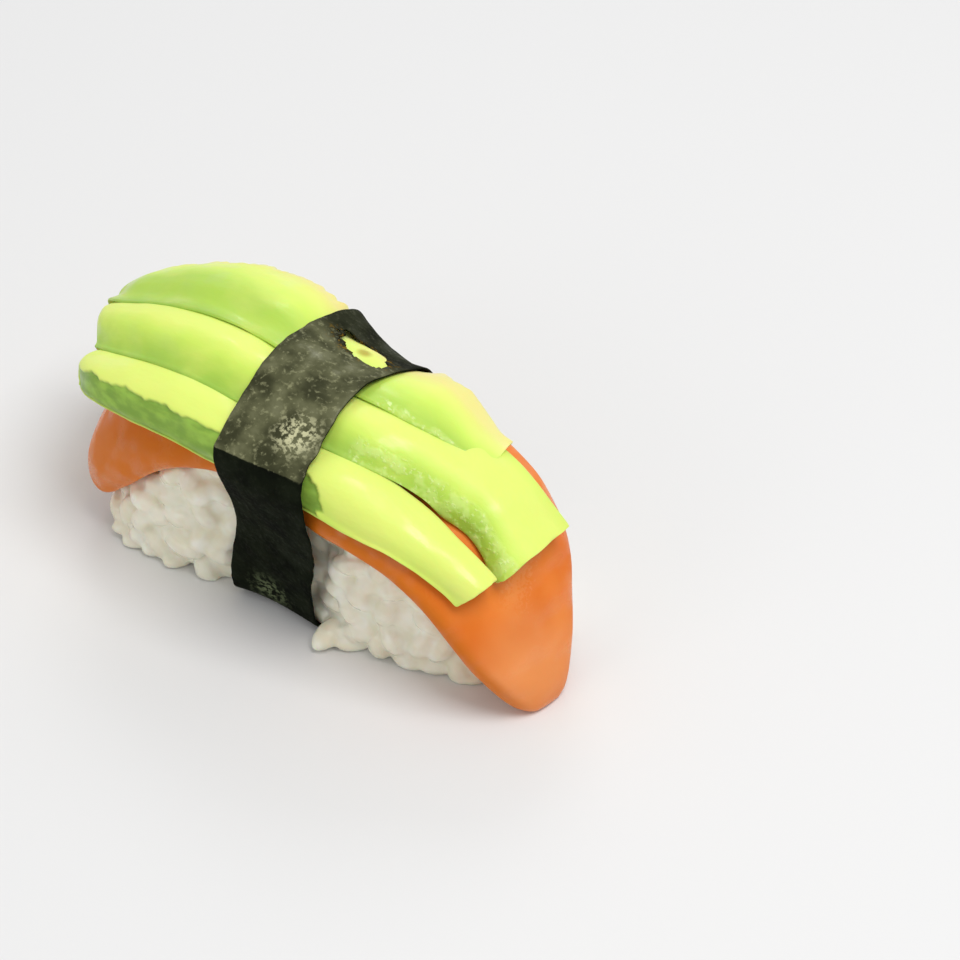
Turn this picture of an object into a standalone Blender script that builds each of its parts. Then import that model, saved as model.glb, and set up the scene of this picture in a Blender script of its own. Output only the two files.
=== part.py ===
"""Salmon nigiri with avocado: a pressed block of rice under a draped slice of raw salmon, three
shingled slices of avocado on top, and a belt of dried seaweed round the middle.

Run with: blender --background --python part.py

+X runs along the nigiri towards the salmon's long tongue, -Y is the front, +Z is up, and the
origin is on the rice's flat underside. Lengths are in metres.
"""

import math

import bmesh
import bpy
import numpy as np
from mathutils import Vector, noise
from mathutils.bvhtree import BVHTree

MM = 0.001
GAP = 0.3 * MM
STATION = 2.0 * MM

# Rice: a hand-pressed block, flat below, turned a little against the salmon.
RICE_HALF_LENGTH = 27.3 * MM
RICE_HALF_WIDTH = 12.7 * MM
RICE_TOP = 24.0 * MM
RICE_YAW = math.radians(6.5)
RICE_GRAIN = 7.0 * MM
RICE_RELIEF = 0.75 * MM
RICE_MIDDLE = 7.0 * MM
RICE_CLEARANCE = 0.7 * MM

# Salmon: the underside's line on the centre plane as (x, z), from the short flap to the tongue.
SALMON_THICK = 4.4 * MM
SALMON_LINE = [(-28.6, 2.6), (-28.6, 8.4), (-27.0, 14.0), (-23.6, 18.2), (-17, 20.8), (-8, 21.8),
               (2, 21.8), (12, 20.5), (20, 17.4), (25.4, 12.8), (28.6, 7.0), (31.1, 1.8), (32.3, -1.4)]
# The same underside across: (distance from the centre plane, drop), before it is spread and flattened.
SALMON_CROSS = [(0, 0), (5, 0.4), (8.5, 1.7), (10.8, 4.2), (11.8, 7.5), (12.2, 11), (12.4, 14.5)]
SALMON_SPREAD = [(-42, 0.80), (-36, 0.84), (-29, 0.92), (-22, 0.98), (-10, 1.03), (24, 1.06),
                 (44, 1.0)]
SALMON_SAG = [(-42, 0.9), (-24, 0.95), (-18, 0.8), (-10, 0.6), (10, 0.6), (24, 0.55), (44, 0.5)]
# Its two long edges, as (length along the line, length across).
SALMON_FRONT_EDGE = [(-40, -9), (-36, -11.5), (-33, -14.5), (-30, -18), (-27, -20.2), (-24, -20.4),
                     (-21, -19.2), (-17.5, -17.4), (-13, -15.4), (-8.8, -13.8), (-3, -12.8), (10, -13.2),
                     (20, -11.4), (27, -10.6), (33, -9.6), (38, -7.6), (42, -6.0), (44, -5.4)]
SALMON_BACK_EDGE = [(-40, 11.5), (-34, 14.5), (-28, 17.0), (-16, 15.0), (0, 13.6), (14, 13.2), (22, 12.2),
                    (27, 10.6), (31, 8.6), (36, 5.8), (40, 3.6), (44, 1.8)]
SALMON_START, SALMON_END = -40.5 * MM, 44.0 * MM
SALMON_ROUNDING = 6.0 * MM

# Avocado: the line that the slices lie along on the centre plane, as (x, z).
AVOCADO_LINE = [(-40, 17.2), (-33, 21.0), (-25, 24.2), (-17, 25.9), (-8, 26.5), (1, 26.4), (9, 25.5),
                (16, 23.4), (22, 20.3), (27, 16.4), (31, 12.2)]
AVOCADO_THIN = 0.5 * MM
AVOCADO_BACK_ROUND = 0.8 * MM
AVOCADO_UNDER_ROUND = 2.0 * MM
AVOCADO_RIM_BULGE = 0.4 * MM
AVOCADO_END_ROUND = 3.4 * MM
AVOCADO_STEPS = 11
# Each slice: where it starts and ends along the line, its front and back edges as (along, y), the
# height of its top over the line at the front rim, the crown and the back edge, its thickness, how
# broadly its front rim is rounded off, and how far the belt presses it down.
SLICES = {
    "avocado_front": {
        "span": (-32.5, 30.0),
        "front": [(-32, -12.6), (-28, -14.8), (-23, -15.6), (-14, -16.0), (-3, -15.7), (7, -14.8),
                  (14, -13.4), (21, -11.8), (29, -9.4)],
        "back": [(-32, -6.4), (-26, -6.0), (-12, -4.6), (4, -5.4), (8, -7.8), (14, -6.0), (22, -4.9),
                 (29, -4.8)],
        "rim": [(-32, 0.4), (-23, 0.0), (-14, 0.4), (-9, 0.9), (-2, 1.7), (6, 0.6), (14, 0.3), (21, 1.1),
                (29, 3.0)],
        "crown": [(-32, 1.3), (-24, 1.5), (-14, 2.2), (-3, 3.0), (8, 2.8), (14, 2.4), (21, 2.2), (29, 3.8)],
        "rear": [(-32, 0.4), (-20, 0.9), (-3, 1.8), (4, 2.2), (9, 2.8), (14, 2.3), (22, 2.0), (29, 3.8)],
        "thick": [(-32, 3.2), (-14, 4.2), (-3, 4.6), (6, 3.6), (14, 2.9), (29, 2.8)],
        "round": [(-32, 1.6), (-24, 1.2), (4, 1.2), (12, 2.0), (29, 2.0)],
        "pinch": 0.6,
    },
    "avocado_middle": {
        "span": (-37.2, 30.2),
        "front": [(-38, -2.5), (-35, -6.6), (-31, -9.0), (-25, -9.8), (-5, -10.0), (8, -9.2), (13, -7.2),
                  (19, -4.4), (25, -2.6), (28, -3.2), (30, -4.6)],
        "back": [(-38, 2.5), (-20, 4.6), (6, 5.2), (14, 7.2), (30, 7.6)],
        "rim": [(-38, 2.4), (-27, 2.9), (-16, 3.5), (-5, 4.4), (8, 4.6), (14, 4.2), (21, 3.8), (30, 4.3)],
        "crown": [(-38, 3.4), (-27, 4.6), (-16, 5.2), (-5, 5.7), (8, 5.4), (14, 5.2), (21, 4.8), (30, 4.6)],
        "rear": [(-38, 0.8), (-20, 1.6), (5, 2.0), (14, 3.2), (22, 4.1), (30, 4.2)],
        "thick": [(-38, 4.4), (-20, 5.6), (14, 4.6), (30, 4.2)],
        "round": [(-38, 2.6), (-24, 3.0), (6, 2.6), (14, 1.8), (30, 1.6)],
        "pinch": 1.0,
    },
    "avocado_back": {
        "span": (-40.3, 19.6),
        "front": [(-41, 2.6), (-37, -1.2), (-31, -2.6), (-12, -2.0), (5, -2.2), (12, -1.0), (16, 1.2),
                  (20, 3.4)],
        "back": [(-41, 7.6), (-36, 8.8), (-24, 10.2), (-10, 12.0), (-6, 11.2), (-2, 9.2), (4, 9.2), (9, 10.6),
                 (14, 10.0), (20, 7.6)],
        "rim": [(-41, 2.6), (-30, 3.4), (-22, 4.0), (-12, 4.6), (4, 5.2), (13, 4.4), (20, 3.6)],
        "crown": [(-41, 3.9), (-30, 5.1), (-22, 6.2), (-12, 6.5), (-2, 6.1), (4, 6.1), (8, 6.4), (13, 5.7),
                  (20, 4.6)],
        "rear": [(-41, 2.6), (-30, 3.7), (-22, 4.6), (-14, 4.5), (-8, 3.7), (-2, 2.6), (5, 2.8), (9, 4.2),
                 (14, 3.6), (20, 3.2)],
        "thick": [(-41, 4.4), (-20, 6.4), (8, 6.4), (20, 4.6)],
        "round": [(-41, 2.4), (-24, 3.0), (20, 2.6)],
        "pinch": 2.2,
    },
}

# Seaweed: a strip over the top, its two ends tucked under the rice in a shallow seat.
BELT_HALF_WIDTH = 6.1 * MM
BELT_THICK = 0.35 * MM
BELT_CENTRE = 14.0 * MM
BELT_ANGLE = math.radians(137)
BELT_LOW_ANGLE = math.radians(105)
BELT_STEPS = 58
BELT_COLUMNS = 4
BELT_TUCK = [10.2 * MM, 8.0 * MM, 5.8 * MM]
BELT_SEAT = 0.9 * MM
BELT_SEAT_START = 4.8 * MM
BELT_LOWEST = 0.12 * MM
RICE_PINCH = 2.4 * MM
BELT_ROUNDS = 120

COLOURS = {
    "rice": ((0.78, 0.74, 0.62), 0.45),
    "salmon": ((0.80, 0.26, 0.08), 0.35),
    "avocado": ((0.62, 0.78, 0.17), 0.40),
    "seaweed": ((0.012, 0.020, 0.010), 0.50),
}


def clear_scene():
    for thing in list(bpy.data.objects):
        bpy.data.objects.remove(thing)


def material(name):
    colour, roughness = COLOURS[name]
    made = bpy.data.materials.new(name)
    made.use_nodes = True
    shader = made.node_tree.nodes["Principled BSDF"]
    shader.inputs["Base Color"].default_value = (*colour, 1)
    shader.inputs["Roughness"].default_value = roughness
    shader.inputs["Metallic"].default_value = 0
    return made


def add_object(name, mesh, finish):
    """Recalculates the normals of the mesh, smooths it and links it as the named object."""
    shaped = bmesh.new()
    shaped.from_mesh(mesh)
    bmesh.ops.recalc_face_normals(shaped, faces=shaped.faces)
    shaped.to_mesh(mesh)
    shaped.free()
    mesh.shade_smooth()
    mesh.set_sharp_from_angle(angle=math.radians(40))
    mesh.materials.append(finish)
    made = bpy.data.objects.new(name, mesh)
    bpy.context.scene.collection.objects.link(made)
    return made


def loft(name, rings, finish):
    """A closed solid through rings of equal length, with a face on the first and the last."""
    shaped = bmesh.new()
    loops = [[shaped.verts.new(point) for point in ring] for ring in rings]
    for one, other in zip(loops, loops[1:]):
        for k in range(len(one)):
            shaped.faces.new((one[k - 1], one[k], other[k], other[k - 1]))
    shaped.faces.new(loops[0])
    shaped.faces.new(loops[-1])
    mesh = bpy.data.meshes.new(name)
    shaped.to_mesh(mesh)
    shaped.free()
    return add_object(name, mesh, finish)


def smoothly(knots, at, reach=3.0):
    """The value of (place, value) knots at a place, rounded off over a few millimetres."""
    places, values = zip(*knots)
    return sum(np.interp(at + reach * d, places, values) for d in (-1, -0.5, 0, 0.5, 1)) / 5


class Line:
    """A smooth plane curve through a few points in millimetres, read by its length from the point
    where its first coordinate is zero. Each reading gives a point and the normal to its left."""

    def __init__(self, points, steps=16):
        ends = [2 * Vector(points[0]) - Vector(points[1]), 2 * Vector(points[-1]) - Vector(points[-2])]
        knots = [ends[0], *[Vector(p) for p in points], ends[1]]
        self.points = []
        for a, b, c, d in zip(knots, knots[1:], knots[2:], knots[3:]):
            for k in range(steps):
                t = k / steps
                self.points.append(0.5 * (2 * b + (c - a) * t + (2 * a - 5 * b + 4 * c - d) * t * t
                                          + (3 * b - a - 3 * c + d) * t ** 3))
        self.points.append(knots[-2])
        steps_taken = [(q - p).length for p, q in zip(self.points, self.points[1:])]
        lengths = np.concatenate([[0], np.cumsum(steps_taken)])
        zero = np.interp(0, [p.x for p in self.points], lengths)
        self.lengths = lengths - zero

    def at(self, length):
        along = length / MM
        spread = 0.4
        here, before, after = (self.place(along + d) for d in (0, -spread, spread))
        tangent = (after - before).normalized()
        return here * MM, Vector((-tangent.y, tangent.x))

    def place(self, along):
        return Vector([np.interp(along, self.lengths, [p[i] for p in self.points]) for i in (0, 1)])


salmon_line = Line(SALMON_LINE)
salmon_cross = Line(SALMON_CROSS)
avocado_line = Line(AVOCADO_LINE)


def under_salmon(along, across):
    """A point of the salmon's underside, by the length along its line and across it."""
    here, normal = salmon_line.at(along)
    side, _ = salmon_cross.at(abs(across))
    spread, sag = (smoothly(knots, along / MM) for knots in (SALMON_SPREAD, SALMON_SAG))
    up = normal if along > 0 else Vector((0, 1))
    drop = sag * side.y
    return Vector((here.x - up.x * drop, math.copysign(spread * side.x, across), here.y - up.y * drop))


def on_salmon(along, across, height):
    """A point at a height over the salmon's underside, square to it."""
    step = 0.4 * MM
    lengthwise = under_salmon(along + step, across) - under_salmon(along - step, across)
    crosswise = under_salmon(along, across + step) - under_salmon(along, across - step)
    point = under_salmon(along, across) + height * lengthwise.cross(crosswise).normalized()
    point.z = max(0, point.z)
    return point


def end_round(along, start, end, rounding):
    """From 0 at either end to 1 a rounding's length inside it, as a quarter of a superellipse."""
    inside = min(along - start, end - along, rounding) / rounding
    return (1 - (1 - max(inside, 0)) ** 2.4) ** (1 / 2.4)


def stations(start, end):
    """Evenly spaced places from start to end, closer together at the two ends."""
    inner = [start + 0.04 * STATION, start + 0.35 * STATION]
    count = round((end - start) / STATION)
    inner += [start + (end - start) * k / count for k in range(1, count)]
    return inner + [end - 0.35 * STATION, end - 0.04 * STATION]


def make_salmon(finish):
    half_steps = 11
    rings = []
    for along in stations(SALMON_START, SALMON_END):
        full = end_round(along, SALMON_START, SALMON_END, SALMON_ROUNDING)
        front = smoothly(SALMON_FRONT_EDGE, along / MM) * MM
        back = smoothly(SALMON_BACK_EDGE, along / MM) * MM
        middle, half = (front + back) / 2, (back - front) / 2 * full
        thick = SALMON_THICK * (0.35 + 0.65 * full)
        upper, lower = [], []
        for k in range(half_steps + 1):
            share = math.sin(math.pi / 2 * (2 * k / half_steps - 1))
            plump = thick * (1 - abs(share) ** 9) ** 0.5 * (1 - 0.22 * share * share)
            across = middle + half * share
            upper.append(on_salmon(along, across, thick * 0.45 + plump * 0.55))
            if 0 < k < half_steps:
                lower.append(on_salmon(along, across, thick * 0.45 - plump * 0.45))
        rings.append(upper + lower[::-1])
    return loft("salmon", rings, finish)


def tree_of(objects):
    """One search tree over the given objects' faces, all of which sit unmoved at the origin."""
    points, faces = [], []
    for thing in objects:
        first = len(points)
        points += [v.co.copy() for v in thing.data.vertices]
        faces += [[first + i for i in face.vertices] for face in thing.data.polygons]
    return BVHTree.FromPolygons(points, faces)


def make_rice(finish, salmon):
    """Upright rings across the block, lumpy with grains and pulled in under the salmon."""
    roof = tree_of([salmon])
    ring_steps = 34
    rings = []
    for k in range(1, 27):
        share = -math.cos(math.pi * k / 27)
        x = RICE_HALF_LENGTH * share
        square = 5 if share < 0 else 2.8
        full = (1 - abs(share) ** square) ** (1 / square)
        pinch = RICE_PINCH * math.exp(-((x / (1.4 * BELT_HALF_WIDTH)) ** 4))
        half_width = RICE_HALF_WIDTH * (0.25 + 0.75 * full) - pinch
        half_height = RICE_TOP / 2 * (0.55 + 0.45 * full)
        core = Vector((0.8 * x, math.tan(RICE_YAW) * x, RICE_MIDDLE))
        ring = []
        for step in range(ring_steps):
            turn = 2 * math.pi * (step + 0.5) / ring_steps
            out, up = math.cos(turn), math.sin(turn)
            side = math.copysign(abs(out) ** (0.55 if up > 0 else 0.36), out) * half_width
            lift = half_height + math.copysign(abs(up) ** 0.6, up) * (half_height + 2.4 * MM)
            waist = 1 - 0.10 * lift / RICE_TOP
            point = Vector((x, side * waist + core.y, lift))
            reach = point - core
            far = reach.length
            way = reach / far
            lump = noise.noise(point / RICE_GRAIN * 2.4) + 0.6 * noise.noise(point / RICE_GRAIN * 5)
            far += RICE_RELIEF * lump * full
            hit = roof.ray_cast(core, way)
            if hit[0]:
                far = min(far, hit[3] - RICE_CLEARANCE)
            while roof.find_nearest(core + way * far)[3] < RICE_CLEARANCE:
                far -= 0.2 * MM
            point = core + way * far
            point.z = max(0, point.z)
            ring.append(point)
        rings.append(ring)
    rice = loft("rice", rings, finish)
    seat = bpy.data.meshes.new("belt_seat")
    shaped = bmesh.new()
    seat_length, seat_reach = 2.5 * BELT_HALF_WIDTH, 15 * MM
    for sign in (-1, 1):
        box = bmesh.ops.create_cube(shaped, size=1)["verts"]
        bmesh.ops.scale(shaped, verts=box, vec=(seat_length, seat_reach, 2 * BELT_SEAT))
        bmesh.ops.translate(shaped, verts=box, vec=(0, sign * (BELT_SEAT_START + seat_reach / 2), 0))
    shaped.to_mesh(seat)
    shaped.free()
    cutter = bpy.data.objects.new("belt_seat", seat)
    cutter.hide_render = True
    cutter.display_type = "WIRE"
    bpy.context.scene.collection.objects.link(cutter)
    cut = rice.modifiers.new("belt_seat", "BOOLEAN")
    cut.operation = "DIFFERENCE"
    cut.object = cutter
    return rice


def on_avocado(along, y, height):
    here, normal = avocado_line.at(along)
    return Vector((here.x + normal.x * height, y, here.y + normal.y * height))


def resting_height(tree, along, y):
    """How high over the avocado's line the things already laid reach, around one place."""
    drop = 25 * MM
    found = [-drop]
    for step in (-1, 0, 1):
        _, normal = avocado_line.at(along + step * STATION)
        for aside in (-0.8 * MM, 0, 0.8 * MM):
            start = on_avocado(along + step * STATION, y + aside, drop)
            hit = tree.ray_cast(start, Vector((-normal.x, 0, -normal.y)))
            if hit[0]:
                found.append(drop - hit[3])
    return max(found)


def rounded(inside, rounding):
    """How far a rounded edge falls away at a distance inside it."""
    return rounding * (1 - math.sqrt(1 - max(1 - max(inside, 0) / rounding, 0) ** 2))


def slice_top(shape, along, y, front, back):
    """The top's height over the line: from the front rim over the crown to the back edge."""
    rim, crown, rear = (smoothly(shape[key], along / MM) * MM for key in ("rim", "crown", "rear"))
    share = (y - front) / (back - front)
    arch = 4 * share * (1 - share) * (1.35 - 0.7 * share)
    height = rim + (rear - rim) * share + (crown - (rim + rear) / 2) * arch
    rounding = smoothly(shape["round"], along / MM) * MM
    return height - rounded(y - front, rounding) - rounded(back - y, AVOCADO_BACK_ROUND)


def make_slice(name, shape, below, finish):
    start, end = (value * MM for value in shape["span"])
    rings = []
    for along in stations(start, end):
        full = end_round(along, start, end + AVOCADO_END_ROUND, AVOCADO_END_ROUND)
        front = smoothly(shape["front"], along / MM) * MM
        back = smoothly(shape["back"], along / MM) * MM
        thick = smoothly(shape["thick"], along / MM) * MM
        pinch = shape["pinch"] * MM * math.exp(-((along / (1.35 * BELT_HALF_WIDTH)) ** 4))
        middle, half = (front + back) / 2, (back - front) / 2 * (0.45 + 0.55 * full)
        upper, lower = [], []
        for k in range(AVOCADO_STEPS + 1):
            share = math.sin(math.pi / 2 * (2 * k / AVOCADO_STEPS - 1))
            y = middle + half * share
            top = slice_top(shape, along, y, middle - half, middle + half) - pinch
            lowest = top - thick + rounded(y - middle + half, AVOCADO_UNDER_ROUND)
            floor = max(resting_height(below, along, y) + GAP, lowest)
            top = max(floor + AVOCADO_THIN, top - 0.5 * thick * (1 - full))
            floor = max(floor, top - thick * (0.3 + 0.7 * full))
            upper.append(on_avocado(along, y, top))
            lower.append(on_avocado(along, y, floor))
        rim = (upper[0] + lower[0]) / 2 - Vector((0, AVOCADO_RIM_BULGE, 0))
        rings.append(upper + lower[::-1] + [rim])
    return loft(name, rings, finish)


def belt_shift(turn):
    """The strip isn't laid quite square: how far its middle lies along +X at an angle round the roll."""
    return 3.5 * MM * math.exp(-(((turn + math.radians(68)) / math.radians(46)) ** 2)) - 0.4 * MM


def make_belt(finish, contents):
    """The strip is wrapped over everything by casting rays in from outside, then tucked under."""
    tree = tree_of(contents)
    turns = [BELT_ANGLE * (2 * k / BELT_STEPS - 1) for k in range(BELT_STEPS + 1)]
    offsets = [BELT_HALF_WIDTH * (2 * k / BELT_COLUMNS - 1) for k in range(BELT_COLUMNS + 1)]
    outside = 50 * MM
    reach = np.zeros((len(turns), len(offsets)))
    for i, turn in enumerate(turns):
        for j, offset in enumerate(offsets):
            for aside in (-1.2 * MM, 0, 1.2 * MM):
                centre = Vector((offset + aside + belt_shift(turn), 0, BELT_CENTRE))
                for lean in (-0.045, -0.02, 0, 0.02, 0.045):
                    way = Vector((0, math.sin(turn + lean), math.cos(turn + lean)))
                    hit = tree.ray_cast(centre + way * outside, -way)
                    reach[i, j] = max(reach[i, j], outside - hit[3])
    # On a straight run of the strip, one over the distance is a cosine of the angle, so pulling the
    # strip straight between the places that it touches is an average of one over the distance.
    tight = 1 / (reach + GAP)
    spacing = math.cos(turns[1] - turns[0])
    loose = tight.copy()
    for _ in range(BELT_ROUNDS):
        padded = np.pad(loose, 1, mode="edge")
        straight = (padded[:-2, 1:-1] + padded[2:, 1:-1]) / (2 * spacing)
        beside = (padded[1:-1, :-2] + padded[1:-1, 2:]) / 2
        loose = np.minimum(tight, 0.8 * straight + 0.2 * beside)
    rows = []
    for side in (-1, 1):
        tucked = []
        turn = side * BELT_ANGLE
        for y in BELT_TUCK:
            x = belt_shift(turn)
            tucked.append([Vector((offset + x, side * y, BELT_LOWEST + BELT_THICK)) for offset in offsets])
        rows.append(tucked)
    wrapped = []
    for i, turn in enumerate(turns):
        row = []
        for j, offset in enumerate(offsets):
            far = 1 / loose[i, j] + (0 if abs(turn) < BELT_LOW_ANGLE else 0.8 * GAP)
            z = max(BELT_LOWEST + BELT_THICK, BELT_CENTRE + far * math.cos(turn))
            row.append(Vector((offset + belt_shift(turn), far * math.sin(turn), z)))
        wrapped.append(row)
    path = rows[0][::-1] + wrapped + rows[1]
    inner, outer = [], []
    for i, row in enumerate(path):
        before, after = path[max(i - 1, 0)], path[min(i + 1, len(path) - 1)]
        for j, point in enumerate(row):
            along = after[j] - before[j]
            out = Vector((0, -along.z, along.y)).normalized()
            lifted = point + out * BELT_THICK
            lifted.z = max(lifted.z, BELT_LOWEST)
            inner.append(point)
            outer.append(lifted)
    columns = len(offsets)
    last = len(path) - 1
    shaped = bmesh.new()
    skins = [[shaped.verts.new(p) for p in skin] for skin in (inner, outer)]
    for i in range(last):
        for j in range(columns - 1):
            a, b = i * columns + j, i * columns + j + 1
            c, d = b + columns, a + columns
            shaped.faces.new([skins[0][k] for k in (a, b, c, d)])
            shaped.faces.new([skins[1][k] for k in (d, c, b, a)])
        for j in (0, columns - 1):
            a, b = i * columns + j, (i + 1) * columns + j
            shaped.faces.new((skins[0][a], skins[0][b], skins[1][b], skins[1][a]))
    for i in (0, last):
        for j in range(columns - 1):
            a, b = i * columns + j, i * columns + j + 1
            shaped.faces.new((skins[0][a], skins[0][b], skins[1][b], skins[1][a]))
    mesh = bpy.data.meshes.new("nori_belt")
    shaped.to_mesh(mesh)
    shaped.free()
    return add_object("nori_belt", mesh, finish)


clear_scene()
finishes = {name: material(name) for name in COLOURS}
salmon = make_salmon(finishes["salmon"])
rice = make_rice(finishes["rice"], salmon)
laid = [salmon]
for slice_name, slice_shape in SLICES.items():
    laid.append(make_slice(slice_name, slice_shape, tree_of(laid), finishes["avocado"]))
make_belt(finishes["seaweed"], [rice, *laid])
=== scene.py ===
"""A salmon nigiri with avocado slices and a band of dried seaweed, on a pale table."""

import math
import random

import bmesh
import bpy
import numpy as np
from mathutils import Matrix, Vector, noise
from mathutils.bvhtree import BVHTree


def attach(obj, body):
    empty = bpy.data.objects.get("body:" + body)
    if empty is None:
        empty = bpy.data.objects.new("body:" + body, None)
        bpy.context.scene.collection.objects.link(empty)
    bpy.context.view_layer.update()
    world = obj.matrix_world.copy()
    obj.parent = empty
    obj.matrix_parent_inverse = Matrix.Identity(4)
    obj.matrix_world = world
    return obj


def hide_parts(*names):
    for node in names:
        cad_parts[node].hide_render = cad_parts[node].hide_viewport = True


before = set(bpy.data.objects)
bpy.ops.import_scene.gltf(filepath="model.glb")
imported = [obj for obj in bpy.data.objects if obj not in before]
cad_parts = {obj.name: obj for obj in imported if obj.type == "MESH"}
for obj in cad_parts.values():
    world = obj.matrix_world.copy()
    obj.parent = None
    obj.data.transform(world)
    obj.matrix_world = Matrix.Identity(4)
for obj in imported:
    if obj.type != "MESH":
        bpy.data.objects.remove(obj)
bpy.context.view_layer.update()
MM = 0.001


# ---------------------------------------------------------------------------------------------
# Rice
# Cooked short-grain rice, wet with seasoned vinegar and pressed into an oblong block in the palm
# of a hand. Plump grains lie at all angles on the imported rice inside, and stick to it and to each
# other. Those that touch the salmon or the band are pressed flat against it.
# ---------------------------------------------------------------------------------------------
CORE_SHRINK = 0.60 * MM
CORE_LUMPS = 0.35 * MM
CORE_LUMP_SIZE = 2.6 * MM
GRAIN_LENGTH = 6.2 * MM
GRAIN_WIDTH = 2.65 * MM
GRAIN_APART = 2.95 * MM
GRAIN_SUNK = 0.75 * MM
GRAIN_UNEVEN = 0.30 * MM
GRAIN_WELD = 0.30 * MM
GRAIN_SOFTENED = 3
GRAIN_TRIES = 7000
GRAIN_SEED = 11
GRAIN_BENDS = (0.06, 0.14, 0.24)
GRAIN_PLUMP = 0.22
GRAIN_DEPTH = 0.84
GRAIN_WIDTHS_VARY = (0.88, 1.12)
GRAIN_LENGTHS_VARY = (0.86, 1.12)
GRAIN_CLEAR = 0.12 * MM
LOOSE_BACK = (0.1, -0.2, 1)
RICE_MIDDLE = 7 * MM
RICE_INSIDE = 0.8
RICE_LEAN = math.tan(math.radians(6.5))
# Grains that stick out of the block: where, in millimetres, and which way they point.
LOOSE_GRAINS = [((-22.7, -12.0, 1.7), (-0.75, -0.65, -0.10)), ((-21.2, -12.6, 1.0), (-0.60, -0.75, 0.05)),
                ((8.5, -10.7, 1.6), (-0.10, -0.80, -0.30)), ((24.0, 8.5, 1.8), (0.6, 0.6, -0.2)),
                ((-12.0, 10.6, 1.5), (-0.8, 0.5, -0.2))]
RICE_COLOUR = (0.885, 0.855, 0.705)
RICE_CLOUDY = (0.935, 0.920, 0.800)
RICE_GLASSY = (0.830, 0.785, 0.610)


class Wire:
    """One socket of a finish's node tree, so that shader sums are written as plain expressions."""

    def __init__(self, tree, socket=None):
        self.tree, self.socket = tree, socket

    def node(self, kind, settings, sockets, out=0):
        """Adds a node: its settings first, then its sockets, by value or by a link from a Wire."""
        made = self.tree.nodes.new(kind)
        for name, value in settings.items():
            if name == "stops":
                stops = made.color_ramp.elements
                while len(stops) > 1:
                    stops.remove(stops[-1])
                for k, (place, colour) in enumerate(value):
                    stop = stops.new(place) if k else stops[0]
                    stop.position, stop.color = place, (*colour, 1)
            else:
                setattr(made, name, value)
        for name, value in sockets.items():
            if isinstance(value, Wire):
                self.tree.links.new(value.socket, made.inputs[name])
            else:
                made.inputs[name].default_value = value
        return Wire(self.tree, made.outputs[out] if made.outputs else None)

    def sum(self, operation, one, other):
        return self.node("ShaderNodeMath", {"operation": operation}, {0: one, 1: other})

    def __add__(self, other):
        return self.sum("ADD", self, other)

    def __sub__(self, other):
        return self.sum("SUBTRACT", self, other)

    def __mul__(self, other):
        return self.sum("MULTIPLY", self, other)

    def __radd__(self, other):
        return self.sum("ADD", other, self)

    def __rsub__(self, other):
        return self.sum("SUBTRACT", other, self)

    def __rmul__(self, other):
        return self.sum("MULTIPLY", other, self)

    def rise(self, low, high):
        """0 below low, 1 above high, and a soft step between them."""
        return self.node("ShaderNodeMapRange", {"interpolation_type": "SMOOTHSTEP"},
                         {"Value": self, "From Min": low, "From Max": high})

    def blend(self, one, other):
        """The first colour where this is 0 and the other where it is 1."""
        one, other = (value if isinstance(value, Wire) else (*value, 1) for value in (one, other))
        return self.node("ShaderNodeMix", {"data_type": "RGBA"}, {"Factor": self, 6: one, 7: other}, out=2)

    def near(self, spot, whole, none):
        """1 within a distance of a spot on the piece, given in millimetres, and 0 beyond a longer one."""
        away = self.node("ShaderNodeVectorMath", {"operation": "DISTANCE"},
                         {0: self, 1: Vector(spot) * MM}, out=1)
        return 1 - away.rise(whole, none)

    def axis(self, number):
        """One of the three numbers of a place or direction: 0 along the food, 1 to its back, 2 up."""
        return self.node("ShaderNodeSeparateXYZ", {}, {0: self}, out=number)

    def outward(self):
        """The direction that the surface faces."""
        return self.node("ShaderNodeNewGeometry", {}, {}, out=1)

    def bump(self, height, strength, distance):
        """The surface's direction, tilted as if it had a height over it."""
        return self.node("ShaderNodeBump", {}, {"Height": height, "Strength": strength, "Distance": distance})

    def grain(self, size, detail=2.0, stretch=(1, 1, 1), turn=0.0, shift=(0, 0, 0), roughness=0.5):
        """Soft noise over the piece, with its marks about a size across, longer where stretched."""
        placed = self.node("ShaderNodeMapping", {"vector_type": "TEXTURE"},
                           {"Vector": self, "Location": shift, "Rotation": (0, 0, turn), "Scale": stretch})
        return self.node("ShaderNodeTexNoise", {},
                         {"Vector": placed, "Scale": 1 / size, "Detail": detail, "Roughness": roughness})


def new_finish(name):
    """A bare material: its shader, where its own sockets are set, and a Wire with the piece's coordinates."""
    made = bpy.data.materials.new(name)
    made.use_nodes = True
    tree = made.node_tree
    place = Wire(tree).node("ShaderNodeTexCoord", {}, {}, out=3)
    return made, tree.nodes["Principled BSDF"], place


def finish_shader(shader, place, plain, over_surface):
    """Sets the shader's plain sockets and links those that change over the surface."""
    for name, value in plain.items():
        shader.inputs[name].default_value = value
    for name, wire in over_surface.items():
        place.tree.links.new(wire.socket, shader.inputs[name])


def copied_skin(node):
    """A solid's own skin as a bmesh, with its loose triangles joined back into four-sided faces."""
    skin = bmesh.new()
    skin.from_mesh(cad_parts[node].data)
    bmesh.ops.remove_doubles(skin, verts=skin.verts, dist=0.001 * MM)
    bmesh.ops.join_triangles(skin, faces=skin.faces, angle_face_threshold=math.radians(50),
                             angle_shape_threshold=math.radians(60))
    return skin


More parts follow.
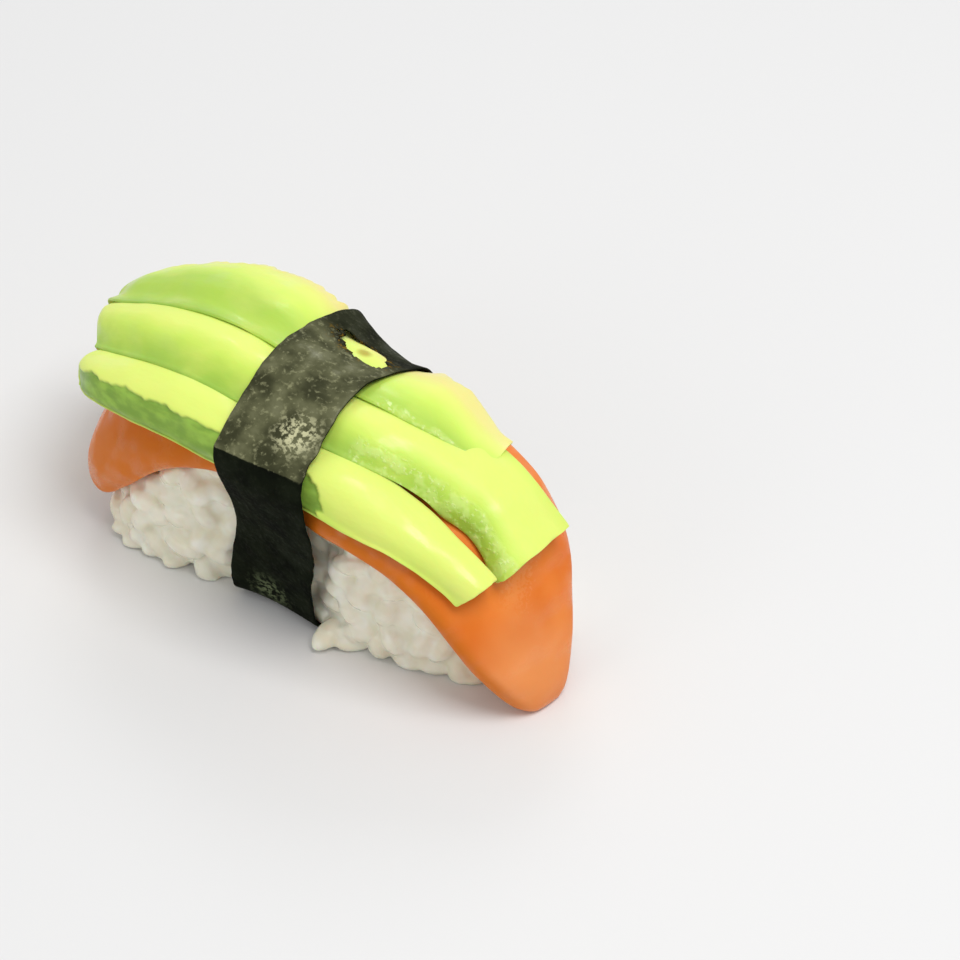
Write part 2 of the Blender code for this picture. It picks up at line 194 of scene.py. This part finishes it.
def as_piece(name, skin, rounds=0):
    """A piece from a bmesh, its faces divided and rounded off as many times as wanted."""
    mesh = bpy.data.meshes.new(name)
    skin.to_mesh(mesh)
    skin.free()
    piece = bpy.data.objects.new(name, mesh)
    bpy.context.scene.collection.objects.link(piece)
    if rounds:
        rounding = piece.modifiers.new("rounding", "SUBSURF")
        rounding.levels = rounding.render_levels = rounds
        seen = piece.evaluated_get(bpy.context.evaluated_depsgraph_get())
        fine = bpy.data.meshes.new_from_object(seen)
        piece.modifiers.clear()
        piece.data = fine
        fine.name = name
    piece.data.shade_smooth()
    return piece


def dress(piece, finish, slot, *nodes):
    """Gives a piece its finish and puts it in the place of the solids that it stands for."""
    piece.data.materials.clear()
    piece.data.materials.append(finish)
    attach(piece, "root")
    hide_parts(*nodes)


def lumps(point, size, shift=0.0):
    """Smooth lumps about a size across, from -1 to 1."""
    return noise.noise(point / size + Vector((shift, shift, shift)))


def reshape(piece, moved):
    """Moves every point of a piece to where moved(point, outward direction, number) puts it."""
    points = [(vertex.co.copy(), vertex.normal.copy()) for vertex in piece.data.vertices]
    moved_points = [moved(point, out, k) for k, (point, out) in enumerate(points)]
    piece.data.vertices.foreach_set("co", np.array(moved_points, np.float32).ravel())
    piece.data.update()


def tree_of(*nodes):
    """One search tree over the skins of some solids."""
    points, faces = [], []
    for node in nodes:
        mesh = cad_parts[node].data
        first = len(points)
        points += [vertex.co.copy() for vertex in mesh.vertices]
        faces += [[first + k for k in face.vertices] for face in mesh.polygons]
    return BVHTree.FromPolygons(points, faces)


def make_kernel(name, bend):
    """The mesh of one plump grain, slightly bent, one long, one wide and lying along its own z."""
    kernel = bmesh.new()
    bmesh.ops.create_uvsphere(kernel, u_segments=8, v_segments=7, radius=0.5)
    for vertex in kernel.verts:
        x, y, z = vertex.co
        plump = 1 + GRAIN_PLUMP * (1 - (2 * z) ** 2)
        vertex.co = (x * plump, y * GRAIN_DEPTH * plump - bend * (2 * z) ** 2 + bend / 3, z)
    mesh = bpy.data.meshes.new(name)
    kernel.to_mesh(mesh)
    kernel.free()
    return mesh


def add_grain(heap, kernel, chance, centre, way, out):
    """Lays one grain along a direction, with its back outwards."""
    way = (way - out * way.dot(out)).normalized()
    side = out.cross(way)
    width = GRAIN_WIDTH * chance.uniform(*GRAIN_WIDTHS_VARY)
    length = GRAIN_LENGTH * chance.uniform(*GRAIN_LENGTHS_VARY)
    turned = Matrix((side * width, out * width, way * length)).transposed().to_4x4()
    laid = kernel.copy()
    laid.transform(Matrix.Translation(centre) @ turned)
    heap.from_mesh(laid)
    bpy.data.meshes.remove(laid)


rice_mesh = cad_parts["rice"].data
cover = tree_of("salmon", "nori_belt")
block = tree_of("rice")
chance = random.Random(GRAIN_SEED)
corners = [[rice_mesh.vertices[k].co for k in face.vertices] for face in rice_mesh.polygons]
areas = [face.area for face in rice_mesh.polygons]
kernels = [make_kernel(f"kernel_{k}", bend) for k, bend in enumerate(GRAIN_BENDS)]

packed = as_piece("packed_rice", copied_skin("rice"), rounds=1)
reshape(packed, lambda point, out, _: point - out * (CORE_SHRINK + CORE_LUMPS * lumps(point, CORE_LUMP_SIZE)))
heap = bmesh.new()
heap.from_mesh(packed.data)
bpy.data.objects.remove(packed)

seats = []
for picked in chance.choices(range(len(corners)), weights=areas, k=GRAIN_TRIES):
    a, b, c = corners[picked]
    r, s = math.sqrt(chance.random()), chance.random()
    seat = a * (1 - r) + b * (r * (1 - s)) + c * (r * s)
    if all((seat - other).length > GRAIN_APART for other in seats):
        seats.append(seat)
for seat in seats:
    _, out, _, _ = block.find_nearest(seat)
    way = Vector(chance.uniform(-1, 1) for _ in range(3))
    sunk = GRAIN_SUNK + chance.uniform(-1, 1) * GRAIN_UNEVEN
    add_grain(heap, chance.choice(kernels), chance, seat - out * sunk, way, out)
for place_mm, way in LOOSE_GRAINS:
    add_grain(heap, kernels[1], chance, Vector(place_mm) * MM, Vector(way).normalized(),
              Vector(LOOSE_BACK).normalized())

for vertex in heap.verts:
    inside = Vector((RICE_INSIDE * vertex.co.x, RICE_LEAN * vertex.co.x, RICE_MIDDLE))
    reach = vertex.co - inside
    hit = cover.ray_cast(inside, reach.normalized())
    if hit[0] and hit[3] - GRAIN_CLEAR < reach.length:
        vertex.co = inside + reach.normalized() * (hit[3] - GRAIN_CLEAR)
    vertex.co.z = max(0.0, vertex.co.z)

grains = as_piece("rice_block", heap)
sticking = grains.modifiers.new("sticking", "REMESH")
sticking.mode = "VOXEL"
sticking.voxel_size = GRAIN_WELD
sticking.use_smooth_shade = True
softening = grains.modifiers.new("softening", "SMOOTH")
softening.factor, softening.iterations = 0.5, GRAIN_SOFTENED
grains.data = bpy.data.meshes.new_from_object(grains.evaluated_get(bpy.context.evaluated_depsgraph_get()))
grains.modifiers.clear()
grains.data.name = "rice_block"

grain_finish, shader, place = new_finish("cooked_rice")
cloud = place.grain(2.2 * MM, detail=1.5)
wet = place.grain(4.5 * MM, shift=(3, 1, 2))
colour = cloud.rise(0.35, 0.62).blend(RICE_GLASSY, RICE_COLOUR)
colour = place.grain(3.5 * MM, shift=(7, 2, 5)).rise(0.5, 0.72).blend(colour, RICE_CLOUDY)
finish_shader(shader, place,
              {"Subsurface Weight": 0.2, "Subsurface Scale": 2.5 * MM, "Coat Roughness": 0.10,
               "Specular IOR Level": 0.35},
              {"Base Color": colour, "Roughness": 0.48 - wet.rise(0.42, 0.62) * 0.22,
               "Coat Weight": wet.rise(0.44, 0.66) * 0.8,
               "Normal": place.bump(place.grain(0.9 * MM), 0.12, 0.2 * MM)})
dress(grains, grain_finish, "rice", "rice")


# ---------------------------------------------------------------------------------------------
# Salmon
# A slice of raw salmon, cut on the slant across the fillet and draped over the rice. The flesh
# is smooth and wet, with faint pale lines of connective tissue across it.
# ---------------------------------------------------------------------------------------------
SALMON_FLESH = (0.825, 0.225, 0.036)
SALMON_DEEP = (0.740, 0.165, 0.014)
SALMON_PALE = (0.870, 0.370, 0.140)
SALMON_SHADED_SIDE = (0.640, 0.165, 0.008)
SALMON_WAVES = 0.16 * MM
SALMON_TIP = (34, -4, 5)
LINE_TURN = math.radians(24)
LINES_PER_METRE = 42.0

salmon = as_piece("salmon_slice", copied_skin("salmon"), rounds=2)


def waved(point, out, _):
    """The slice's gentle unevenness."""
    point = point + out * (SALMON_WAVES * lumps(point, 5 * MM))
    point.z = max(0, point.z)
    return point


reshape(salmon, waved)

salmon_finish, shader, place = new_finish("raw_salmon")
line_wobble = place.grain(9 * MM, detail=1)
lines = place.node("ShaderNodeMapping", {"vector_type": "TEXTURE"},
                   {"Vector": place, "Rotation": (0, 0, LINE_TURN)})
lines = lines.node("ShaderNodeTexWave", {"wave_type": "BANDS", "bands_direction": "X"},
                   {"Vector": lines, "Scale": LINES_PER_METRE, "Distortion": 2.2, "Detail": 2.0,
                    "Detail Scale": 60.0})
lines = lines.rise(0.80, 1.0) * line_wobble.rise(0.40, 0.66)
mottled = place.grain(8 * MM, detail=2, shift=(1, 4, 2))
tip = place.near(SALMON_TIP, 2 * MM, 12 * MM) * 0.50
colour = mottled.rise(0.32, 0.68).blend(SALMON_DEEP, SALMON_FLESH)
colour = (lines * 0.24 + tip).blend(colour, SALMON_PALE)
# Painted shade: the sides that face forwards are darkened to a deeper orange, for the shade they lie in.
forward = 0 - place.outward().axis(1)
colour = (forward.rise(0.45, 0.95) * 0.8).blend(colour, SALMON_SHADED_SIDE)
damp = place.grain(3.2 * MM, stretch=(1, 2.2, 1), shift=(5, 5, 1))
ridges = place.grain(1.3 * MM, stretch=(1, 2.6, 1), detail=3)
finish_shader(shader, place,
              {"Subsurface Weight": 0.15, "Subsurface Scale": 2.0 * MM, "Coat Roughness": 0.10,
               "Specular IOR Level": 0.12},
              {"Base Color": colour, "Roughness": 0.46 - damp.rise(0.42, 0.68) * 0.22,
               "Coat Weight": damp.rise(0.45, 0.72) * 0.55,
               "Normal": place.bump(ridges + lines * 0.4, 0.16, 0.25 * MM)})
dress(salmon, salmon_finish, "salmon", "salmon")


# ---------------------------------------------------------------------------------------------
# Avocado slices
# Three slices cut lengthwise from a ripe half, peeled, and fanned so that each leans on the one
# in front. Each is dark green at the front, where the skin was, and cream at the back, by the stone.
# ---------------------------------------------------------------------------------------------
SLICE_LUMPS = 0.20 * MM
SKIN_LEDGE = 0.28 * MM
LIP_SINK = 0.60 * MM
RIM_GREEN = (0.215, 0.375, 0.045)
DEEP_GREEN = (0.330, 0.540, 0.070)
LEAF_GREEN = (0.450, 0.670, 0.085)
FRESH_GREEN = (0.640, 0.850, 0.125)
YELLOW_GREEN = (0.765, 0.895, 0.180)
PALE_YELLOW = (0.810, 0.830, 0.205)
CREAM = (0.850, 0.775, 0.265)
PAINTED_GLINT_GREEN = (0.780, 0.930, 0.360)
# Each slice: how its colour runs from its front edge, 0, to its back edge, 1, and how much it
# lightens along the slice; how ragged its back edge is; whether its skin side shows; how far its
# front lip lies down; and where it is wet, with glints painted on: from which place on, and between which
# shares across.
SLICES = {
    "avocado_front": {
        "run": [(0.0, FRESH_GREEN), (0.16, YELLOW_GREEN), (0.75, YELLOW_GREEN), (1.0, PALE_YELLOW)],
        "lightens": 0.0, "ragged": 0.15 * MM, "skin_shows": True, "lip": 0.0,
        "wet": (40 * MM, 0.0, 0.1)},
    "avocado_middle": {
        "run": [(0.0, DEEP_GREEN), (0.08, LEAF_GREEN), (0.20, FRESH_GREEN), (0.32, YELLOW_GREEN),
                (0.80, YELLOW_GREEN), (1.0, FRESH_GREEN)],
        "lightens": 0.0, "ragged": 0.2 * MM, "skin_shows": False, "lip": LIP_SINK,
        "wet": (9 * MM, 0.04, 0.15)},
    "avocado_back": {
        "run": [(0.0, DEEP_GREEN), (0.16, LEAF_GREEN), (0.42, LEAF_GREEN), (0.62, FRESH_GREEN),
                (0.78, YELLOW_GREEN), (0.90, PALE_YELLOW), (1.0, CREAM)],
        "lightens": 0.26, "ragged": 0.8 * MM, "skin_shows": False, "lip": LIP_SINK,
        "wet": (7 * MM, 0.03, 0.12)},
}
COLUMN = 1.5 * MM
SKIN_NARROWS = (7 * MM, 14 * MM)
LIP_FROM = (-40 * MM, -32 * MM)
LIP_ACROSS = (0.05, 0.35)
RAGGED_FROM, RAGGED_TO = (-38 * MM, -30 * MM), (11 * MM, 17 * MM)
# The back slice thins out to the right, hangs a little at its left end, and lies close before it.
BACK_THINS, BACK_THINS_FROM = 1.1 * MM, (12 * MM, 20 * MM)
BACK_HANGS, BACK_HANGS_TO = 0.8 * MM, (-41 * MM, -34 * MM)
BACK_LIES, BACK_LIES_TO = 0.35 * MM, (-30 * MM, -16 * MM)
# Where the seaweed has torn and the back slice bulges through.
TEAR = Vector((0.4, 4.7, 30.8)) * MM
TEAR_BULGE = 0.95 * MM
TEAR_BULGE_LONG, TEAR_BULGE_WIDE = 5.0 * MM, 3.4 * MM
TEAR_BRUISE = (0.9, 4.4, 30.9)
BRUISE_AMBER = (0.420, 0.300, 0.020)


def share_across(piece):
    """Where each point lies between its slice's front edge, 0, and back edge, 1, at that place along it."""
    points = np.array([vertex.co for vertex in piece.data.vertices])
    places = np.arange(points[:, 0].min(), points[:, 0].max() + COLUMN, COLUMN)
    fronts, backs = [], []
    for x in places:
        near = points[abs(points[:, 0] - x) < COLUMN, 1]
        fronts.append(near.min())
        backs.append(near.max())
    front, back = np.interp(points[:, 0], places, fronts), np.interp(points[:, 0], places, backs)
    return np.clip((points[:, 1] - front) / (back - front), 0, 1)


def note(piece, name, values):
    """Keeps one number for each point of a piece, for its finish to read."""
    kept = piece.data.attributes.new(name, "FLOAT", "POINT")
    kept.data.foreach_set("value", np.asarray(values, np.float32))


def eased(value, low, high):
    """0 below low, 1 above high, and a soft step between them."""
    share = min(1, max(0, (value - low) / (high - low)))
    return share * share * (3 - 2 * share)


for node, shape in SLICES.items():
    piece = as_piece(node + "_slice", copied_skin(node), rounds=3)
    across = share_across(piece)
    skin_side = []
    for vertex in piece.data.vertices:
        jagged = 0.16 * lumps(vertex.co, 3.0 * MM, 2) + 0.10 * lumps(vertex.co, 1.1 * MM, 5)
        narrower = 0.60 * eased(vertex.co.x, *SKIN_NARROWS)
        skin_side.append(shape["skin_shows"] * eased(-vertex.normal.y + jagged - narrower, 0.58, 0.66))
    note(piece, "across", across)
    note(piece, "skin_side", skin_side)


    def handled(point, out, number):
        """Soft dents, a ledge by the skin side, a lip that lies down in front, and a ragged back edge."""
        spot = Vector((point.x * 0.7, point.y, point.z))
        dent = SLICE_LUMPS * (lumps(spot, 6 * MM) + 0.35 * lumps(spot, 2.2 * MM, 4))
        dent -= SKIN_LEDGE * skin_side[number]
        ragged = shape["ragged"] * max(0, across[number] - 0.8) * 5
        along = Vector((point.x, 0, 0))
        ragged *= lumps(along, 2.4 * MM) + 0.55 * lumps(along, 0.9 * MM, 6) - 0.3
        ragged *= eased(point.x, *RAGGED_FROM) * (1 - eased(point.x, *RAGGED_TO))
        lip = (1 - eased(across[number], *LIP_ACROSS)) * eased(point.x, *LIP_FROM)
        sink = shape["lip"] * lip
        if node == "avocado_back":
            thinner = BACK_THINS * eased(point.x, *BACK_THINS_FROM) * (1 - eased(across[number], 0.4, 1.0))
            sink = max(sink, thinner)
            sink += BACK_HANGS * (1 - eased(point.x, *BACK_HANGS_TO))
            sink += BACK_LIES * lip * (1 - eased(point.x, *BACK_LIES_TO))
            away = point - TEAR
            dent += TEAR_BULGE * max(0, 1 - (away.x / TEAR_BULGE_LONG) ** 2 - (away.y / TEAR_BULGE_WIDE) ** 2)
        return point + out * dent + Vector((0, ragged, -sink))


    reshape(piece, handled)

    finish, shader, place = new_finish(node + "_flesh")
    position = place.node("ShaderNodeAttribute", {"attribute_name": "across"}, {}, out=2)
    skin = place.node("ShaderNodeAttribute", {"attribute_name": "skin_side"}, {}, out=2)
    patchy = place.grain(5 * MM, detail=3, stretch=(1.6, 1, 1))
    fine = place.grain(1.3 * MM, detail=3, stretch=(2.6, 1, 1), shift=(2, 3, 1))
    x = place.axis(0)
    shifted = position + (patchy - 0.5) * 0.16 + x.rise(-24 * MM, 6 * MM) * shape["lightens"]
    colour = place.node("ShaderNodeValToRGB", {"stops": shape["run"]}, {"Fac": shifted})
    colour = (patchy.rise(0.45, 0.75) * 0.25).blend(colour, PALE_YELLOW)
    colour = skin.blend(colour, fine.rise(0.35, 0.68).blend(RIM_GREEN, DEEP_GREEN))
    bruised = place.near(TEAR_BRUISE, 0.3 * MM, 1.3 * MM) * 0.8
    colour = bruised.blend(colour, BRUISE_AMBER)
    starts, low, high = shape["wet"]
    wet = x.rise(starts, starts + 2 * MM) * position.rise(low - 0.04, low)
    wet = wet * (1 - position.rise(high, high + 0.05))
    specks = place.grain(0.55 * MM, detail=2, stretch=(1.6, 1, 1), turn=math.radians(-25),
                         shift=(9, 2, 4)).rise(0.56, 0.68) * wet
    blobs = place.grain(1.7 * MM, detail=2, shift=(1, 8, 3)).rise(0.44, 0.62) * wet
    # Painted highlight: pale whitish-green specks and blobs in the wet strip stand for its wet glints.
    colour = (blobs * 0.32 + specks * 0.40).blend(colour, PAINTED_GLINT_GREEN)
    damp = place.grain(3.4 * MM, detail=2, stretch=(2.0, 1, 1), shift=(6, 1, 3))
    finish_shader(shader, place,
                  {"Subsurface Weight": 0.15, "Subsurface Scale": 1.5 * MM, "Coat Roughness": 0.12,
                   "Specular IOR Level": 0.30},
                  {"Base Color": colour, "Roughness": 0.50 - damp.rise(0.45, 0.70) * 0.20,
                   "Coat Weight": damp.rise(0.50, 0.74) * 0.35 + specks * 0.6,
                   "Normal": place.bump(fine + specks * 1.2 + blobs * 0.8, 0.28, 0.3 * MM)})
    dress(piece, finish, "avocado", node)


# ---------------------------------------------------------------------------------------------
# Seaweed band
# A strip cut from a sheet of dried, pressed seaweed, laid over the top and tucked under the rice.
# It has gone soft on the damp food, creased at the front shoulder and torn near the back.
# ---------------------------------------------------------------------------------------------
BAND_THICK = 0.22 * MM
BAND_MIDDLE = 10 * MM
BAND_FRAY = 0.30 * MM
BAND_CREASES = 0.16 * MM
TEAR_LONG, TEAR_WIDE = 4.2 * MM, 1.6 * MM
BAND_FOLD = 0.55 * MM
FOLD_REACH = 2.6 * MM
BAND_SETTLES = 0.55 * MM
# The front shoulder's crease runs straight across the strip, a little askew, and stands out forwards.
FOLD_PLACE_Y, FOLD_PLACE_Z, FOLD_ASKEW = -15.75 * MM, 27.2 * MM, 0.165
FOLD_WAY = Vector((0, -0.75, 0.66))
# The strip has settled on the back slice most of all round this place.
SETTLED_X, SETTLED_Y, SETTLED_REACH = 5 * MM, 7 * MM, 6 * MM
STRIP_MIDDLE_X, STRIP_HALF = 1 * MM, 7 * MM
TUCKED_BELOW, FREE_ABOVE = 1.5 * MM, 4.5 * MM
TEAR_ABOVE = 26 * MM
TEAR_LEAN = 0.18
TEAR_RAGGED = 0.7
SHEEN_SPOT = (4.6, -11.0, 30.0)
SOAKED_SHEEN_SPOT = (-0.8, -11.3, 3.4)
BAND_BLACK = (0.0035, 0.0045, 0.0025)
BAND_GREEN = (0.008, 0.011, 0.005)
BAND_LIT_TOP_DARK = (0.040, 0.042, 0.020)
BAND_LIT_TOP_PALE = (0.145, 0.148, 0.075)
BAND_FIBRE_SHEEN = (0.380, 0.380, 0.210)
BAND_SHEEN_BRIGHT = (0.560, 0.550, 0.330)
BAND_SOAKED_SHEEN = (0.150, 0.185, 0.095)
BAND_AMBER = (0.230, 0.130, 0.010)

def is_hidden(face):
    """Whether a face is on the strip's inside or on one of its narrow edges."""
    outwards = face.calc_center_median() * Vector((0, 1, 1)) - Vector((0, 0, BAND_MIDDLE))
    return face.normal.dot(outwards.normalized()) < 0.3 or abs(face.normal.x) > 0.8


band = copied_skin("nori_belt")
bmesh.ops.delete(band, context="FACES", geom=[face for face in band.faces if is_hidden(face)])
strip = as_piece("seaweed_band", band, rounds=3)


def creased(point, out, _):
    """Uneven long edges, shallow creases, the sharp crease at the shoulder, and the dip behind."""
    run = Vector((0, point.y, point.z))
    edge = min(1, abs(point.x - STRIP_MIDDLE_X) / STRIP_HALF) ** 3
    fray = BAND_FRAY * edge * (lumps(run, 3.5 * MM) + 0.5 * lumps(run, 1.2 * MM))
    crease = lumps(Vector((point.x * 0.5, point.y, point.z)), 4 * MM, 9) + 0.4 * lumps(point, 1.5 * MM, 3)
    high = min(1, max(0, (point.z - TUCKED_BELOW) / (FREE_ABOVE - TUCKED_BELOW)))
    fold = math.hypot(point.y - FOLD_PLACE_Y - FOLD_ASKEW * point.x, point.z - FOLD_PLACE_Z)
    sharp = BAND_FOLD * max(0, 1 - fold / FOLD_REACH) ** 1.5
    from_dip = ((point.x - SETTLED_X) ** 2 + (point.y - SETTLED_Y) ** 2) / SETTLED_REACH ** 2
    settled = BAND_SETTLES * math.exp(-from_dip)
    return (point + Vector((fray, 0, 0)) + FOLD_WAY * sharp
            + out * (high * (BAND_CREASES * crease - settled)))


def is_torn(face):
    """Whether a face lies inside the tear's ragged outline."""
    middle = face.calc_center_median()
    away = middle - TEAR
    share = (away.x / TEAR_LONG) ** 2 + ((away.y + TEAR_LEAN * away.x) / TEAR_WIDE) ** 2
    return middle.z > TEAR_ABOVE and share < 1 + TEAR_RAGGED * lumps(middle, 1.3 * MM)


reshape(strip, creased)
torn = bmesh.new()
torn.from_mesh(strip.data)
bmesh.ops.delete(torn, context="FACES", geom=[face for face in torn.faces if is_torn(face)])
torn.to_mesh(strip.data)
torn.free()
wall = strip.modifiers.new("wall", "SOLIDIFY")
wall.thickness = BAND_THICK
wall.offset = -1

band_finish, shader, place = new_finish("dried_seaweed")
fibres = place.grain(0.65 * MM, detail=4, roughness=0.6)
blotch = place.grain(3.6 * MM, detail=3, shift=(4, 2, 8))
# Painted sheen: faces that look up are painted a paler grey-olive, as the lamp above lights them. Towards the
# back this fades to the dark sheet, which is painted shade.
lit_top = (place.outward().axis(2) + (fibres - 0.5) * 0.3).rise(0.40, 0.58)
depth = place.axis(1) + (blotch - 0.5) * 6 * MM
lit_top = lit_top * (1 - depth.rise(2.5 * MM, 6.5 * MM) * 0.88)
tear_way = place.node("ShaderNodeVectorMath", {"operation": "SUBTRACT"}, {0: place, 1: TEAR})
tear_way = place.node("ShaderNodeVectorMath", {"operation": "MULTIPLY"}, {0: tear_way, 1: (0.45, 1.0, 0.3)})
tear_way = place.node("ShaderNodeVectorMath", {"operation": "LENGTH"}, {0: tear_way}, out=1)
thin = 1 - (tear_way + (fibres - 0.5) * 1.5 * MM).rise(1.5 * MM, 2.6 * MM)
sheen = place.near(SHEEN_SPOT, 0.8 * MM, 4.0 * MM)
soaked_sheen = place.near(SOAKED_SHEEN_SPOT, 0.5 * MM, 4.0 * MM)
colour = lit_top.blend(blotch.rise(0.35, 0.65).blend(BAND_BLACK, BAND_GREEN),
                   blotch.rise(0.30, 0.70).blend(BAND_LIT_TOP_DARK, BAND_LIT_TOP_PALE))
# Pale fibre specks: partly the sheet's own fibres and partly painted sheen, so they show almost only on the
# lit top.
colour = (fibres.rise(0.52, 0.74) * (0.01 + 0.50 * lit_top)).blend(colour, BAND_FIBRE_SHEEN)
# Painted highlight: a small spot of bright fibres on the top near the front shoulder stands for the lamp's
# sheen.
colour = (sheen * fibres.rise(0.46, 0.58)).blend(colour, BAND_SHEEN_BRIGHT)
# A damp patch low on the front. Its paler grey-green is partly the wet sheet and partly painted sheen.
colour = (soaked_sheen * fibres.rise(0.44, 0.60) * 0.8).blend(colour, BAND_SOAKED_SHEEN)
colour = (thin * 0.85).blend(colour, fibres.rise(0.35, 0.5).blend(BAND_AMBER, BAND_BLACK))
finish_shader(shader, place,
              {"Coat Roughness": 0.2, "Specular IOR Level": 0.03},
              {"Base Color": colour, "Roughness": 0.80 - fibres.rise(0.4, 0.7) * 0.2 - lit_top * 0.2,
               "Coat Weight": blotch.rise(0.50, 0.74) * (0.04 + 0.40 * lit_top),
               "Normal": place.bump(fibres + blotch * 0.8, 0.5, 0.25 * MM)})
dress(strip, band_finish, "seaweed", "nori_belt")


# ---------------------------------------------------------------------------------------------
# Table, light and camera
# A plain pale table under one big soft lamp above the food, with weaker ones behind and in front.
# ---------------------------------------------------------------------------------------------
TABLE_SIZE = 6.0
TABLE_COLOUR = (0.80, 0.80, 0.80)
SKY_STRENGTH = 0.50
CAMERA_PLACE = (0.2195, -0.2265, 0.2781)
CAMERA_TURN, CAMERA_RISE = math.radians(41), math.radians(40)
CAMERA_LENS = 129.15
CAMERA_FILM = 36
CAMERA_SEES_FROM = 0.01
LIT_PLACE = Vector((0, 0, 0.015))

slab = bmesh.new()
bmesh.ops.create_grid(slab, x_segments=1, y_segments=1, size=TABLE_SIZE / 2)
table = as_piece("table", slab)
table_finish, shader, place = new_finish("pale_table")
finish_shader(shader, place,
              {"Base Color": (*TABLE_COLOUR, 1), "Roughness": 0.9, "Specular IOR Level": 0.1}, {})
table.data.materials.append(table_finish)

sky = bpy.data.worlds.new("studio")
sky.use_nodes = True
tree = sky.node_tree
tree.nodes.clear()
path = tree.nodes.new("ShaderNodeLightPath")
seen = Wire(tree, path.outputs["Is Camera Ray"]) + Wire(tree, path.outputs["Is Glossy Ray"])
seen = seen + Wire(tree, path.outputs["Is Transmission Ray"])
strength = seen.rise(0, 1) * (1 - SKY_STRENGTH) + SKY_STRENGTH
Wire(tree).node("ShaderNodeOutputWorld", {}, {
    "Surface": Wire(tree).node("ShaderNodeBackground", {}, {"Color": (1, 1, 1, 1), "Strength": strength})})
bpy.context.scene.world = sky


def soft_lamp(name, place, size, watts):
    """A square white lamp that faces the middle of the food."""
    made = bpy.data.lights.new(name, "AREA")
    made.size, made.energy = size, watts
    lamp = bpy.data.objects.new(name, made)
    lamp.location = place
    lamp.rotation_mode = "QUATERNION"
    lamp.rotation_quaternion = (Vector(place) - LIT_PLACE).to_track_quat("Z", "Y")
    bpy.context.scene.collection.objects.link(lamp)


soft_lamp("overhead", place=(0.25, 0.02, 0.60), size=0.35, watts=2.4)
soft_lamp("behind", place=(-0.35, 0.40, 0.45), size=0.25, watts=0.7)
soft_lamp("front", place=(-0.10, -0.60, 0.30), size=0.30, watts=0.35)

eye = bpy.data.cameras.new("camera")
eye.lens, eye.sensor_width = CAMERA_LENS, CAMERA_FILM
eye.clip_start = CAMERA_SEES_FROM
camera = bpy.data.objects.new("camera", eye)
back = Vector((math.sin(CAMERA_TURN), -math.cos(CAMERA_TURN), 0)) * math.cos(CAMERA_RISE)
back.z = math.sin(CAMERA_RISE)
camera.rotation_mode = "QUATERNION"
camera.rotation_quaternion = back.to_track_quat("Z", "Y")
camera.location = CAMERA_PLACE
bpy.context.scene.collection.objects.link(camera)
bpy.context.scene.camera = camera
bpy.context.scene.view_settings.view_transform = "Standard"
